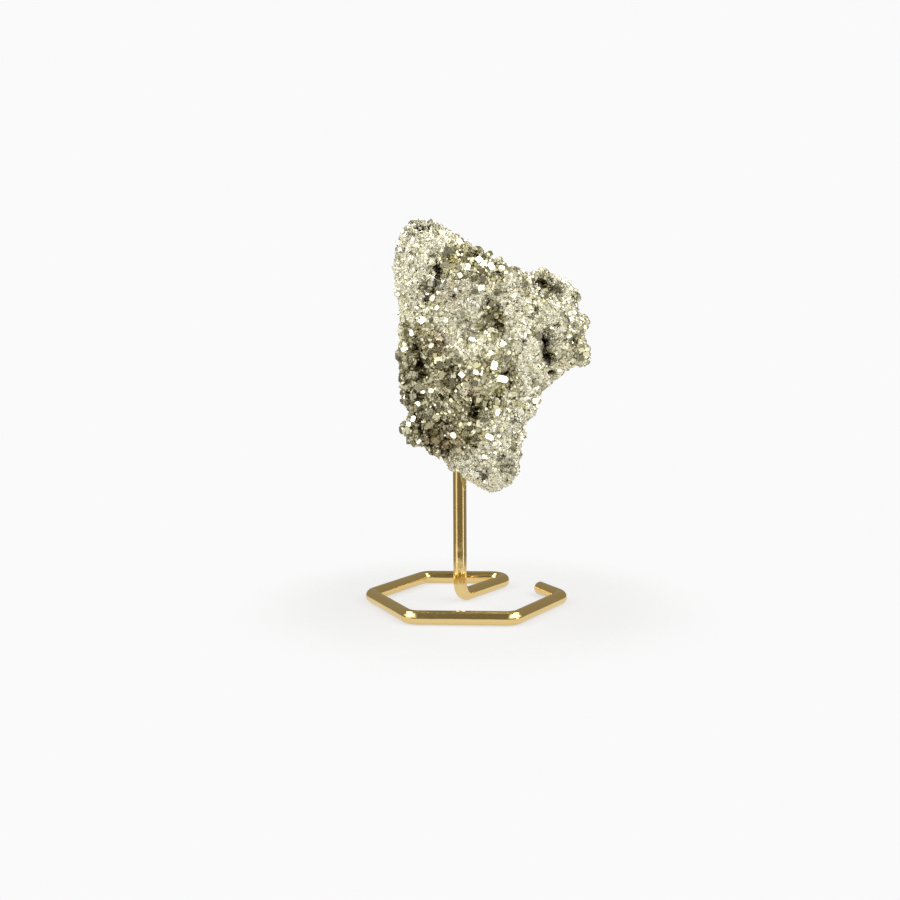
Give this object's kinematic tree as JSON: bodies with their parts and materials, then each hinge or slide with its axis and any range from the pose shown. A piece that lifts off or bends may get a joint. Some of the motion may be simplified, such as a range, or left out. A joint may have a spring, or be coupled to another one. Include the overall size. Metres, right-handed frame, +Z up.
{
  "type": "mineral specimen on a stand",
  "caption": "Lump of intergrown pyrite crystals drilled onto the post of a stand bent from brass-plated rod with an open hexagonal foot.",
  "frame": {"origin": "middle of the whole object's bounding box, at the bottom, on the surface that the foot rests on", "axes": "+Z up along the post, -Y towards the viewer, so that the foot's straight front side and the stone's display face look along -Y, +X to the viewer's right"},
  "size_m": [0.0995, 0.0814, 0.171],
  "materials": {
    "pyrite": "natural pyrite crystals, metallic pale brass yellow, mirror-bright small faces with dark pits and some brown tarnish",
    "brass_plating": "polished brass plating on round rod"
  },
  "bodies": {
    "root": {"pyrite": "pyrite", "stand": "brass_plating"}
  },
  "joints": []
}
